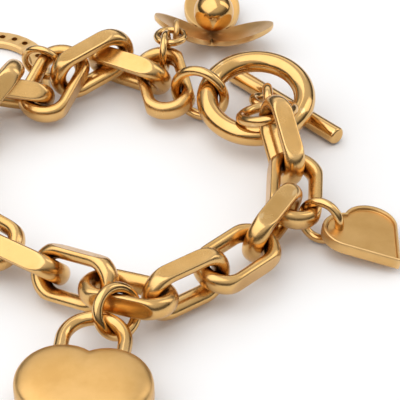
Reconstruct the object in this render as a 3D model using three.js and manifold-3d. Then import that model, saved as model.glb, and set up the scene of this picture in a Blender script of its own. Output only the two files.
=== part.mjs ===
import * as THREE from 'three';
import { mergeVertices } from 'three/addons/utils/BufferGeometryUtils.js';
import Module from 'manifold-3d';

// Lengths are millimetres and angles are degrees. +Z is up and the bracelet rests on Z = 0.

// Main links: long ovals of rounded wire whose two long sides are filed flat.
const LINK_LENGTH = 16.4;
const LINK_WIDTH = 8.8;
const LINK_WIRE_THICK = 2.7;
const LINK_WIRE_WIDE = 3.6;
const LINK_FILED = 0.7;
const LINK_SIDES = 12;
const LINK_ARC_STEPS = 7;

// Toggle clasp
const TOGGLE_RING_ACROSS = 20.6;
const TOGGLE_RING_TUBE = 3.7;
const TOGGLE_RING_SIDES = 12;
const TOGGLE_RING_ARC_STEPS = 14;
const BAR_LENGTH = 26;
const BAR_THICK = 3.1;
const BAR_EDGE = 0.5;
const BAR_SIDES = 16;
const BAR_EYE_ACROSS = 8.6;
const BAR_EYE_HIGH = 6.9;
const BAR_EYE_WIRE = 1.6;

// Jump rings
const RING_WIRE = 1.5;
const LARGE_RING_ACROSS = 11;
const PADLOCK_RING_ACROSS = 9.4;
const BAR_RING_ACROSS = 8.6;
const THIN_RING_WIRE = 1.3;
const THIN_RING_ACROSS = 8.3;
const FLOWER_RING_WIRE = 1.1;
const FLOWER_RING_ACROSS = 6.2;
const FLOWER_LINK_RING_ACROSS = 7.8;
const RING_SIDES = 6;
const RING_ARC_STEPS = 9;

// Padlock charm: a puffed heart with a wire shackle held in two sockets
const PADLOCK_WIDTH = 21.2;
const PADLOCK_HEIGHT = 20.6;
const PADLOCK_THICK = 6.4;
const PADLOCK_LOBE = 0.335;
const SHACKLE_SPAN = 9.9;
const SHACKLE_WIRE = 2.2;
const SHACKLE_RISE = 3;
const SHACKLE_SINK = 0.7;
const SHACKLE_SIDES = 10;
const SHACKLE_ARC_STEPS = 12;
const SOCKET_DEEP = 3.2;
const SOCKET_CLEARANCE = 0.3;

// Heart tag: a flat plate with a raised rim and a hole in one lobe
const TAG_WIDTH = 13.6;
const TAG_HEIGHT = 14.6;
const TAG_THICK = 2;
const TAG_LOBE = 0.33;
const TAG_RIM = 0.12;
const TAG_RECESS = 0.5;
const TAG_HOLE = 4.5;
// From the hole's middle to the heart's top and to its side
const TAG_HOLE_INSET = 3.7;
const TAG_HOLE_ALONG = TAG_HOLE_INSET - TAG_HEIGHT / 2;
const TAG_HOLE_ACROSS = TAG_HOLE_INSET - TAG_WIDTH / 2;

// Flower charm: three cupped petals round a mirror ball, with a wire loop on one petal
const PETALS = 3;
const FIRST_PETAL = 90;
const PETAL_REACH = 11.6;
const PETAL_WIDTH = 10.2;
const PETAL_THICK = 1.5;
const PETAL_CUP = 0.036;
const PETAL_SHARE = 0.93;
const FLOWER_HUB = 6;
const PETAL_ROWS = 8;
const FLOWER_BALL = 7.2;
const BALL_ROWS = 12;
const LOOP_ACROSS = 4.4;
const LOOP_WIRE = 1;
const LOOP_OUT = 6.8;
const LOOP_SIDE = -8.6;
const LOOP_HEADING = 90;
const LOOP_ARC_STEPS = 5;

// Horseshoe charm: a flat arched band with pits punched along it
const SHOE_ACROSS = 21.2;
const SHOE_BAND = 3.4;
const SHOE_THICK = 1.6;
const SHOE_CHAMFER = 0.3;
const SHOE_ARMS = 8;
const SHOE_PITS = 13;
const SHOE_PIT = 1.1;
const SHOE_PIT_DEEP = 0.8;
const SHOE_PIT_SIDES = 10;
const SHOE_EYE_ACROSS = 4.4;
const SHOE_EYE_WIRE = 1;

const HEART_ARC_STEPS = 12;
const HEART_SIDE_STEPS = 4;
const FACES_ROUND = 20;

// Settling of the laid pieces
const CLEARANCE = 0.35;
const SETTLE_ROUNDS = 900;
const SETTLE_HOME = 0.12;
const SETTLE_HOME_ROUNDS = 600;
const SETTLE_PUSH = 0.6;
const SETTLE_DONE = 0.01;
const SETTLE_STIFFNESS = 60;
const SETTLE_SPACING = 1;
const SETTLE_SIGHT = 7;
const SETTLE_PASS = 0.4;

const GOLD = 0xc98f45;

const part = new THREE.Group();

const wasm = await Module();
wasm.setup();

const turn = THREE.MathUtils.degToRad;

function solidOf(geometry) {
  const bare = new THREE.BufferGeometry();
  bare.setAttribute('position', geometry.getAttribute('position').clone());
  bare.setIndex(geometry.index ? geometry.index.clone() : null);
  const merged = mergeVertices(bare, 1e-5);
  return new wasm.Manifold(new wasm.Mesh({
    numProp: 3,
    vertProperties: new Float32Array(merged.getAttribute('position').array),
    triVerts: new Uint32Array(merged.index.array),
  }));
}

function geometryOf(solid) {
  const mesh = solid.getMesh();
  const geometry = new THREE.BufferGeometry();
  geometry.setAttribute('position', new THREE.BufferAttribute(new Float32Array(mesh.vertProperties), 3));
  geometry.setIndex(new THREE.BufferAttribute(new Uint32Array(mesh.triVerts), 1));
  geometry.computeVertexNormals();
  return geometry;
}

// Stations of a closed oval lying in the XY plane, with its long axis along X.
// Each has the middle of the wire and the angle that points out of the oval there.
function ovalStations(size, steps) {
  const bend = (size.width - size.thick) / 2;
  const straight = size.length / 2 - size.thick / 2 - bend;
  const stations = [];
  for (const end of [1, -1]) {
    for (let step = 0; step <= steps; step += 1) {
      const angle = turn(90 * (1 - end) - 90 + 180 * step / steps);
      stations.push({ x: end * straight + bend * Math.cos(angle), y: bend * Math.sin(angle), angle });
    }
  }
  return stations;
}

// Stations of a U that opens toward +X, with its bend round the origin.
function arcStations(radius, arms, steps) {
  const stations = [{ x: arms, y: radius, angle: turn(90) }];
  for (let step = 0; step <= steps; step += 1) {
    const angle = turn(90 + 180 * step / steps);
    stations.push({ x: radius * Math.cos(angle), y: radius * Math.sin(angle), angle });
  }
  stations.push({ x: arms, y: -radius, angle: turn(270) });
  return stations;
}

// A section is a list of points, each out from the middle of the wire and up from it.
function ovalSection(thick, wide, sides) {
  const section = [];
  for (let side = 0; side < sides; side += 1) {
    const around = 2 * Math.PI * (side + 0.5) / sides;
    section.push([Math.cos(around) * thick / 2, Math.sin(around) * wide / 2]);
  }
  return section;
}

function bandSection(width, thick, chamfer) {
  const out = width / 2;
  const up = thick / 2;
  return [
    [out, up - chamfer], [out - chamfer, up], [chamfer - out, up], [-out, up - chamfer],
    [-out, chamfer - up], [chamfer - out, -up], [out - chamfer, -up], [out, chamfer - up],
  ];
}

function sweep(stations, section, closed) {
  const points = [];
  for (const station of stations) {
    for (const [out, up] of section) {
      points.push(station.x + out * Math.cos(station.angle), station.y + out * Math.sin(station.angle), up);
    }
  }
  const sides = section.length;
  const faces = [];
  const spans = closed ? stations.length : stations.length - 1;
  for (let ring = 0; ring < spans; ring += 1) {
    const next = (ring + 1) % stations.length;
    for (let side = 0; side < sides; side += 1) {
      const beside = (side + 1) % sides;
      faces.push(ring * sides + side, next * sides + side, next * sides + beside);
      faces.push(ring * sides + side, next * sides + beside, ring * sides + beside);
    }
  }
  if (!closed) {
    const last = (stations.length - 1) * sides;
    for (let side = 1; side < sides - 1; side += 1) {
      faces.push(0, side, side + 1);
      faces.push(last, last + side + 1, last + side);
    }
  }
  const geometry = new THREE.BufferGeometry();
  geometry.setAttribute('position', new THREE.Float32BufferAttribute(points, 3));
  geometry.setIndex(faces);
  return geometry;
}

function ovalWire(size, sides, steps) {
  return sweep(ovalStations(size, steps), ovalSection(size.thick, size.wide, sides), true);
}

// The wire is bent a little wider than the link, and what stands past its width is filed off.
const LINK_SIZE = {
  length: LINK_LENGTH, width: LINK_WIDTH + 2 * LINK_FILED, thick: LINK_WIRE_THICK, wide: LINK_WIRE_WIDE,
};

function linkGeometry() {
  const wire = ovalWire(LINK_SIZE, LINK_SIDES, LINK_ARC_STEPS);
  const between = new THREE.BoxGeometry(2 * LINK_LENGTH, LINK_WIDTH, 2 * LINK_WIRE_WIDE);
  return geometryOf(solidOf(wire).intersect(solidOf(between)));
}

function ringSize(across, wire) {
  return { length: across, width: across, thick: wire, wide: wire };
}

// A heart lies in the XY plane round its middle, with its point toward +X.
// Two round lobes run into straight sides that meet at the point.
function heartOutline(width, height, lobeShare) {
  const lobe = width * lobeShare;
  const apart = width / 2 - lobe;
  const top = -height / 2 + lobe;
  const point = height / 2;
  const lean = Math.atan2(-apart, point - top) + Math.acos(lobe / Math.hypot(point - top, apart));
  const cleft = Math.PI + Math.asin(apart / lobe);
  const upper = [];
  for (let step = 0; step <= HEART_ARC_STEPS; step += 1) {
    const angle = lean + (cleft - lean) * step / HEART_ARC_STEPS;
    upper.push({ x: top + lobe * Math.cos(angle), y: apart + lobe * Math.sin(angle) });
  }
  const side = [];
  for (let step = 1; step < HEART_SIDE_STEPS; step += 1) {
    const share = step / HEART_SIDE_STEPS;
    side.push({ x: point + (upper[0].x - point) * share, y: upper[0].y * share });
  }
  const half = [...side, ...upper];
  const mirrored = half.slice(0, -1).reverse().map((spot) => ({ x: spot.x, y: -spot.y }));
  return [{ x: point, y: 0 }, ...half, ...mirrored];
}

// Layers of one outline, each drawn in to a share of its size, from the bottom to the top.
function layered(outline, layers) {
  const points = [0, 0, layers[0].up];
  for (const layer of layers) {
    for (const spot of outline) {
      points.push(spot.x * layer.out, spot.y * layer.out, layer.up);
    }
  }
  points.push(0, 0, layers[layers.length - 1].up);
  const count = outline.length;
  const last = points.length / 3 - 1;
  const faces = [];
  for (let spot = 0; spot < count; spot += 1) {
    const beside = (spot + 1) % count;
    faces.push(0, 1 + beside, 1 + spot);
    for (let layer = 0; layer < layers.length - 1; layer += 1) {
      const low = 1 + layer * count;
      const high = low + count;
      faces.push(low + spot, low + beside, high + beside);
      faces.push(low + spot, high + beside, high + spot);
    }
    faces.push(last, last - count + spot, last - count + beside);
  }
  const geometry = new THREE.BufferGeometry();
  geometry.setAttribute('position', new THREE.Float32BufferAttribute(points, 3));
  geometry.setIndex(faces);
  return geometry;
}

function upright(radius, height, sides) {
  return new THREE.CylinderGeometry(radius, radius, height, sides).rotateX(Math.PI / 2);
}

const SHACKLE_AT = -PADLOCK_HEIGHT / 2 - SHACKLE_RISE + SHACKLE_SINK;

function shackleWire(grow) {
  const stations = arcStations(SHACKLE_SPAN / 2, SOCKET_DEEP + SHACKLE_RISE + grow, SHACKLE_ARC_STEPS);
  const thick = SHACKLE_WIRE + 2 * grow;
  return sweep(stations, ovalSection(thick, thick, SHACKLE_SIDES), false).translate(SHACKLE_AT, 0, 0);
}

function padlockGeometry() {
  const outline = heartOutline(PADLOCK_WIDTH, PADLOCK_HEIGHT, PADLOCK_LOBE);
  const half = PADLOCK_THICK / 2;
  const body = layered(outline, [
    { out: 0.55, up: -half },
    { out: 0.84, up: -0.93 * half },
    { out: 0.95, up: -0.7 * half },
    { out: 1, up: -0.3 * half },
    { out: 1, up: 0.3 * half },
    { out: 0.95, up: 0.7 * half },
    { out: 0.84, up: 0.93 * half },
    { out: 0.55, up: half },
  ]);
  return geometryOf(solidOf(body).subtract(solidOf(shackleWire(SOCKET_CLEARANCE))));
}

function tagGeometry() {
  const outline = heartOutline(TAG_WIDTH, TAG_HEIGHT, TAG_LOBE);
  const body = layered(outline, [
    { out: 0.95, up: 0 },
    { out: 1, up: 0.25 * TAG_THICK },
    { out: 1, up: 0.8 * TAG_THICK },
    { out: 0.97, up: TAG_THICK },
    { out: 1 - TAG_RIM, up: TAG_THICK },
    { out: 0.98 - TAG_RIM, up: TAG_THICK - TAG_RECESS },
  ]);
  const hole = upright(TAG_HOLE / 2, 3 * TAG_THICK, FACES_ROUND);
  hole.translate(TAG_HOLE_ALONG, TAG_HOLE_ACROSS, 0);
  return geometryOf(solidOf(body).subtract(solidOf(hole)));
}

const PETAL_LONG = PETAL_REACH * PETAL_SHARE;

function cupRise(reach) {
  return PETAL_CUP * reach * reach;
}

function petalGeometry(heading) {
  const petal = new THREE.SphereGeometry(1, FACES_ROUND, PETAL_ROWS).rotateX(Math.PI / 2);
  const position = petal.getAttribute('position');
  for (let at = 0; at < position.count; at += 1) {
    const x = PETAL_REACH - PETAL_LONG / 2 + position.getX(at) * PETAL_LONG / 2;
    const y = position.getY(at) * PETAL_WIDTH / 2;
    const level = position.getZ(at);
    const thick = Math.sign(level) * Math.sqrt(Math.abs(level)) * PETAL_THICK / 2;
    position.setXYZ(at, x, y, PETAL_THICK / 2 + thick + cupRise(Math.hypot(x, y)));
  }
  return petal.rotateZ(turn(heading));
}

// The loop stands on the edge of the petal nearest to the chain, level with its middle.
const LOOP_HIGH = cupRise(Math.hypot(LOOP_OUT, LOOP_SIDE)) + PETAL_THICK / 2;
const LOOP_SPOT = new THREE.Vector3(-LOOP_OUT, LOOP_SIDE, LOOP_HIGH);

function flowerGeometry() {
  let flower = solidOf(upright(FLOWER_HUB / 2, PETAL_THICK, FACES_ROUND).translate(0, 0, PETAL_THICK / 2));
  for (let petal = 0; petal < PETALS; petal += 1) {
    flower = flower.add(solidOf(petalGeometry(FIRST_PETAL + 360 * petal / PETALS)));
  }
  const loop = ovalWire(ringSize(LOOP_ACROSS, LOOP_WIRE), RING_SIDES, LOOP_ARC_STEPS);
  loop.rotateX(Math.PI / 2).rotateZ(turn(LOOP_HEADING)).translate(...LOOP_SPOT.toArray());
  return geometryOf(flower.add(solidOf(loop)));
}

// One arm ends in an upright wire eye, sunk in the band by the thickness of its wire.
const SHOE_RADIUS = (SHOE_ACROSS - SHOE_BAND) / 2;
const SHOE_EYE_SPOT = new THREE.Vector3(
  SHOE_ARMS - SHOE_EYE_ACROSS / 2,
  SHOE_RADIUS,
  SHOE_THICK / 2 + SHOE_EYE_ACROSS / 2 - SHOE_EYE_WIRE,
);

function shoeGeometry() {
  const stations = arcStations(SHOE_RADIUS, SHOE_ARMS, 2 * RING_ARC_STEPS);
  let shoe = solidOf(sweep(stations, bandSection(SHOE_BAND, SHOE_THICK, SHOE_CHAMFER), false));
  for (let pit = 0; pit < SHOE_PITS; pit += 1) {
    const angle = turn(90 + 180 * pit / (SHOE_PITS - 1));
    const hole = upright(SHOE_PIT / 2, 2 * SHOE_PIT_DEEP, SHOE_PIT_SIDES);
    hole.translate(SHOE_RADIUS * Math.cos(angle), SHOE_RADIUS * Math.sin(angle), SHOE_THICK / 2);
    shoe = shoe.subtract(solidOf(hole));
  }
  const eye = ovalWire(ringSize(SHOE_EYE_ACROSS, SHOE_EYE_WIRE), RING_SIDES, LOOP_ARC_STEPS);
  eye.rotateX(Math.PI / 2).translate(...SHOE_EYE_SPOT.toArray());
  return geometryOf(shoe.add(solidOf(eye)));
}

function metal(colour, roughness) {
  return new THREE.MeshStandardMaterial({ color: colour, roughness, metalness: 1 });
}

// A pose is a place, a heading across the floor, a pitch up from it and a roll about the long axis.
function poseTurn(pose) {
  const heading = turn(pose.heading);
  const pitch = turn(pose.pitch ?? 0);
  const along = new THREE.Vector3(
    Math.cos(heading) * Math.cos(pitch),
    Math.sin(heading) * Math.cos(pitch),
    Math.sin(pitch),
  );
  const across = new THREE.Vector3(0, 0, 1).cross(along).normalize();
  across.applyAxisAngle(along, turn(pose.roll ?? 0));
  const normal = along.clone().cross(across);
  return new THREE.Quaternion().setFromRotationMatrix(new THREE.Matrix4().makeBasis(along, across, normal));
}

// Samples stand along the middle of a wire, so that two wires can be held apart by their own thickness.
function arcSteps(radius) {
  return Math.ceil(Math.PI * radius / SETTLE_SPACING);
}

function ovalSamples(size, limit) {
  const bend = (size.width - size.thick) / 2;
  const steps = arcSteps(bend);
  const samples = [];
  const stations = ovalStations(size, steps);
  for (let at = 0; at < stations.length; at += 1) {
    const here = stations[at];
    const next = stations[(at + 1) % stations.length];
    const straight = at % (steps + 1) === steps;
    const parts = straight ? Math.max(1, Math.round(Math.abs(next.x - here.x) / SETTLE_SPACING)) : 1;
    const level = Math.abs(Math.sin(here.angle));
    const outer = bend + size.thick / 2;
    const filed = limit && outer * level > limit ? outer - limit / level : 0;
    for (let piece = 0; piece < parts; piece += 1) {
      samples.push({
        at: new THREE.Vector3(here.x + (next.x - here.x) * piece / parts, here.y, 0),
        outward: new THREE.Vector3(Math.cos(here.angle), Math.sin(here.angle), 0),
        normal: new THREE.Vector3(0, 0, 1),
        thick: size.thick / 2,
        wide: size.wide / 2,
        filed,
      });
    }
  }
  return samples;
}

function ballSamples(points) {
  return points.map(([x, y, z, radius]) => ({
    at: new THREE.Vector3(x, y, z),
    outward: new THREE.Vector3(1, 0, 0),
    normal: new THREE.Vector3(0, 0, 1),
    thick: radius,
    wide: radius,
    filed: 0,
  }));
}

function heartSamples(width, height, lobeShare, thick, level, shares) {
  const points = [];
  for (const share of shares) {
    for (const spot of heartOutline(width - thick, height - thick, lobeShare)) {
      points.push([spot.x * share, spot.y * share, level, thick / 2]);
    }
  }
  return ballSamples(points);
}

// How far a sample's section reaches from its middle toward a direction.
function reachOf(sample, toward) {
  const out = toward.dot(sample.outwardNow);
  const up = toward.dot(sample.normalNow);
  const round = Math.hypot(sample.thick * out, sample.wide * up) || 1e-9;
  const kept = sample.thick - sample.filed;
  if (sample.filed > 0 && sample.thick * sample.thick * out / round > kept) {
    const corner = sample.wide * Math.sqrt(Math.max(0, 1 - (kept / sample.thick) ** 2));
    return kept * out + corner * Math.abs(up);
  }
  return round;
}

// Whether a closed loop passes an odd number of times through the hole of an oval body.
function threads(body, loop) {
  const back = body.turned.clone().invert();
  const local = loop.map((spot) => spot.clone().sub(body.place).applyQuaternion(back));
  let passes = 0;
  for (let at = 0; at < local.length; at += 1) {
    const here = local[at];
    const next = local[(at + 1) % local.length];
    if (here.z < 0 !== next.z < 0) {
      const spot = here.clone().lerp(next, here.z / (here.z - next.z));
      const out = Math.max(Math.abs(spot.x) - body.oval.straight, 0);
      passes += Math.hypot(out, spot.y) < body.oval.bend ? 1 : 0;
    }
  }
  return passes % 2 === 1;
}

function nearestOf(first, second) {
  let nearest = { apart: Infinity };
  for (const a of first.samples) {
    for (const b of second.samples) {
      const apart = a.now.distanceTo(b.now);
      if (apart < nearest.apart) {
        nearest = { apart, a, b };
      }
    }
  }
  return nearest;
}

function refresh(body) {
  body.loopNow = body.loop?.map((spot) => spot.clone().applyQuaternion(body.turned).add(body.place));
  for (const sample of body.samples) {
    sample.now = sample.at.clone().applyQuaternion(body.turned).add(body.place);
    sample.outwardNow = sample.outward.clone().applyQuaternion(body.turned);
    sample.normalNow = sample.normal.clone().applyQuaternion(body.turned);
  }
}

function nudge(body, point, direction, amount) {
  const arm = point.clone().sub(body.place);
  const twist = arm.cross(direction);
  body.place.addScaledVector(direction, amount);
  const angle = twist.length() * amount / SETTLE_STIFFNESS;
  if (angle !== 0) {
    const spin = new THREE.Quaternion().setFromAxisAngle(twist.normalize(), angle);
    body.turned.premultiply(spin);
  }
}

function hold(body, point, direction) {
  const twist = point.clone().sub(body.place).cross(direction);
  return body.fixed ? 0 : 1 + twist.lengthSq() / SETTLE_STIFFNESS;
}

// Pushes pieces that touch or cross apart until every pair is a clearance away, and lifts them off the floor.
function settle(bodies) {
  const toward = new THREE.Vector3();
  const down = new THREE.Vector3(0, 0, -1);
  const up = new THREE.Vector3(0, 0, 1);
  bodies.forEach(refresh);
  for (let round = 0; round < SETTLE_ROUNDS; round += 1) {
    let worst = 0;
    for (let one = 0; one < bodies.length; one += 1) {
      for (let two = one + 1; two < bodies.length; two += 1) {
        const first = bodies[one];
        const second = bodies[two];
        const far = first.radius + second.radius + CLEARANCE;
        if ((first.fixed && second.fixed) || first.place.distanceTo(second.place) > far) {
          continue;
        }
        const oval = first.oval ? first : second;
        const other = first.oval ? second : first;
        if (oval.oval && other.loop && threads(oval, other.loopNow) !== joined(first.name, second.name)) {
          const { apart, a, b } = nearestOf(first, second);
          const pull = b.now.clone().sub(a.now).normalize();
          const give = hold(first, a.now, pull) + hold(second, b.now, pull);
          const share = (apart + SETTLE_PASS) / give;
          worst = 1;
          if (!first.fixed) {
            nudge(first, a.now, pull, share);
            refresh(first);
          }
          if (!second.fixed) {
            nudge(second, b.now, pull.clone().negate(), share);
            refresh(second);
          }
          continue;
        }
        let deepest = { over: 0 };
        for (const a of first.samples) {
          for (const b of second.samples) {
            toward.subVectors(b.now, a.now);
            const apart = toward.length();
            if (apart > SETTLE_SIGHT) {
              continue;
            }
            toward.divideScalar(apart);
            const near = reachOf(a, toward) + reachOf(b, toward.clone().negate()) + CLEARANCE;
            if (near - apart > deepest.over) {
              deepest = { over: near - apart, a, b, toward: toward.clone() };
            }
          }
        }
        if (deepest.over > 0) {
          worst = Math.max(worst, deepest.over);
          const giveFirst = hold(first, deepest.a.now, deepest.toward);
          const giveSecond = hold(second, deepest.b.now, deepest.toward);
          const share = SETTLE_PUSH * deepest.over / (giveFirst + giveSecond);
          if (!first.fixed) {
            nudge(first, deepest.a.now, deepest.toward.clone().negate(), share);
            refresh(first);
          }
          if (!second.fixed) {
            nudge(second, deepest.b.now, deepest.toward, share);
            refresh(second);
          }
        }
      }
    }
    for (const body of bodies) {
      let lowest = { under: 0 };
      for (const sample of body.samples) {
        const under = reachOf(sample, down) - sample.now.z;
        if (under > lowest.under) {
          lowest = { under, sample };
        }
      }
      if (lowest.under > 0 && !body.fixed) {
        nudge(body, lowest.sample.now, up, SETTLE_PUSH * lowest.under / hold(body, lowest.sample.now, up));
        refresh(body);
      }
    }
    const homing = SETTLE_HOME * Math.max(0, 1 - round / SETTLE_HOME_ROUNDS);
    for (const body of homing > 0 ? bodies : []) {
      body.place.lerp(body.home, homing);
      body.turned.slerp(body.homeTurned, homing);
      refresh(body);
    }
    if (worst < SETTLE_DONE && homing === 0) {
      break;
    }
  }
}

const bodies = [];

// Pieces that pass through one another. Each main link also passes through the next.
const JOINS = [
  ['toggle_ring', 'jump_ring_toggle'],
  ['jump_ring_toggle', 'chain_link_01'],
  ['chain_link_18', 'jump_ring_link'],
  ['jump_ring_link', 'jump_ring_bar'],
  ['jump_ring_bar', 'toggle_bar'],
  ['chain_link_13', 'padlock_ring'],
  ['padlock_ring', 'padlock_shackle'],
  ['chain_link_17', 'heart_tag_ring'],
  ['heart_tag_ring', 'heart_tag'],
  ['chain_link_01', 'flower_ring_lower'],
  ['flower_ring_lower', 'flower_ring_upper'],
  ['flower_ring_upper', 'flower_petals'],
  ['chain_link_04', 'horseshoe_ring'],
  ['horseshoe_ring', 'horseshoe_charm'],
];

function joined(one, two) {
  const first = CHAIN.findIndex((row) => row.name === one);
  const second = CHAIN.findIndex((row) => row.name === two);
  const beside = first >= 0 && second >= 0 && Math.abs(first - second) === 1;
  return beside || JOINS.some((pair) => pair.includes(one) && pair.includes(two));
}

// A loop is the line round the hole by which a piece hangs, and an oval body is all loop.
function addBody(name, geometry, samples, pose, finish, fixed = false, loop = null, oval = null) {
  const radius = Math.max(...samples.map((sample) => sample.at.length() + sample.wide));
  bodies.push({
    name,
    geometry,
    samples,
    loop,
    oval,
    material: finish,
    fixed,
    radius,
    place: new THREE.Vector3(pose.x, pose.y, pose.z),
    home: new THREE.Vector3(pose.x, pose.y, pose.z),
    turned: poseTurn(pose),
    homeTurned: poseTurn(pose),
  });
}

const EYE_SIZE = { length: BAR_EYE_ACROSS, width: BAR_EYE_HIGH, thick: BAR_EYE_WIRE, wide: BAR_EYE_WIRE };
const EYE_RISE = BAR_EYE_HIGH / 2 + BAR_THICK / 2 - BAR_EYE_WIRE;

function barGeometry() {
  const profile = [
    [0, -BAR_LENGTH / 2],
    [BAR_THICK / 2 - BAR_EDGE, -BAR_LENGTH / 2],
    [BAR_THICK / 2, -BAR_LENGTH / 2 + BAR_EDGE],
    [BAR_THICK / 2, BAR_LENGTH / 2 - BAR_EDGE],
    [BAR_THICK / 2 - BAR_EDGE, BAR_LENGTH / 2],
    [0, BAR_LENGTH / 2],
  ];
  const rod = new THREE.LatheGeometry(profile.map(([r, h]) => new THREE.Vector2(r, h)), BAR_SIDES);
  rod.rotateZ(-Math.PI / 2);
  const eye = ovalWire(EYE_SIZE, RING_SIDES, RING_ARC_STEPS).translate(0, EYE_RISE, 0);
  return geometryOf(solidOf(rod).add(solidOf(eye)));
}

function barSamples() {
  const rod = [];
  const reach = (BAR_LENGTH - BAR_THICK) / 2;
  const steps = Math.round(2 * reach / SETTLE_SPACING);
  for (let step = 0; step <= steps; step += 1) {
    rod.push([reach * (2 * step / steps - 1), 0, 0, BAR_THICK / 2]);
  }
  const eye = ovalSamples(EYE_SIZE, 0);
  for (const sample of eye) {
    sample.at.y += EYE_RISE;
  }
  return ballSamples(rod).concat(eye);
}

function shackleSamples() {
  const stations = arcStations(SHACKLE_SPAN / 2, SOCKET_DEEP + SHACKLE_RISE, arcSteps(SHACKLE_SPAN / 2));
  const points = stations.map((spot) => [spot.x + SHACKLE_AT, spot.y, 0, SHACKLE_WIRE / 2]);
  return ballSamples(points);
}

function tagSamples() {
  const points = [];
  const thick = TAG_THICK / 2;
  for (const spot of heartOutline(TAG_WIDTH - TAG_THICK, TAG_HEIGHT - TAG_THICK, TAG_LOBE)) {
    points.push([spot.x, spot.y, thick, thick]);
  }
  for (const spot of circle(TAG_HOLE_ALONG, TAG_HOLE_ACROSS, thick, TAG_HOLE / 2 + thick)) {
    points.push([...spot.toArray(), thick]);
  }
  return ballSamples(points);
}

function petalSamples() {
  const points = [[0, 0, FLOWER_BALL / 2 + PETAL_THICK + CLEARANCE, FLOWER_BALL / 2]];
  const half = PETAL_THICK / 2;
  for (let petal = 0; petal < PETALS; petal += 1) {
    const spin = turn(FIRST_PETAL + 360 * petal / PETALS);
    for (let out = PETAL_THICK; out < PETAL_LONG; out += SETTLE_SPACING) {
      const share = 2 * out / PETAL_LONG - 1;
      const span = PETAL_WIDTH / 2 * Math.sqrt(1 - share * share) - half;
      const steps = Math.ceil(2 * Math.max(span, 0) / SETTLE_SPACING) + 1;
      for (let step = 0; step <= steps; step += 1) {
        const x = PETAL_REACH - PETAL_LONG + out;
        const y = span * (2 * step / steps - 1);
        const rise = half + cupRise(Math.hypot(x, y));
        const east = x * Math.cos(spin) - y * Math.sin(spin);
        const north = x * Math.sin(spin) + y * Math.cos(spin);
        points.push([east, north, rise, half]);
      }
    }
  }
  return ballSamples(points.concat(flowerLoop().map((spot) => [...spot.toArray(), LOOP_WIRE / 2])));
}

// The middle line of a wire loop that stands upright at a heading.
function uprightLoop(across, wire, heading, middle) {
  return ovalSamples(ringSize(across, wire), 0).map((sample) => {
    const spot = new THREE.Vector3(sample.at.x, 0, sample.at.y);
    return spot.applyAxisAngle(new THREE.Vector3(0, 0, 1), turn(heading)).add(middle);
  });
}

function flowerLoop() {
  return uprightLoop(LOOP_ACROSS, LOOP_WIRE, LOOP_HEADING, LOOP_SPOT);
}

function circle(x, y, z, radius) {
  const spots = [];
  for (let step = 0; step < FACES_ROUND; step += 1) {
    const angle = 2 * Math.PI * step / FACES_ROUND;
    spots.push(new THREE.Vector3(x + radius * Math.cos(angle), y + radius * Math.sin(angle), z));
  }
  return spots;
}

function shoeEyeLoop() {
  return uprightLoop(SHOE_EYE_ACROSS, SHOE_EYE_WIRE, 0, SHOE_EYE_SPOT);
}

function shoeSamples() {
  const points = [];
  const half = SHOE_THICK / 2;
  for (const lane of [half - SHOE_BAND / 2, 0, SHOE_BAND / 2 - half]) {
    for (const side of [1, -1]) {
      for (let along = 0; along < SHOE_ARMS; along += SETTLE_SPACING) {
        points.push([along, side * (SHOE_RADIUS + lane), 0, half]);
      }
    }
    for (const spot of arcStations(SHOE_RADIUS + lane, SHOE_ARMS - half, arcSteps(SHOE_RADIUS))) {
      points.push([spot.x, spot.y, 0, half]);
    }
  }
  return ballSamples(points.concat(shoeEyeLoop().map((spot) => [...spot.toArray(), SHOE_EYE_WIRE / 2])));
}

function addOval(name, size, geometry, limit, pose, finish, fixed = false) {
  const samples = ovalSamples(size, limit);
  const bend = (size.width - size.thick) / 2;
  const oval = { bend, straight: size.length / 2 - size.thick / 2 - bend };
  addBody(name, geometry, samples, pose, finish, fixed, samples.map((sample) => sample.at), oval);
}

function addRing(name, across, wire, pose) {
  const size = ringSize(across, wire);
  addOval(name, size, ovalWire(size, RING_SIDES, RING_ARC_STEPS), 0, pose, metal(GOLD, 0.2));
}

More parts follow.
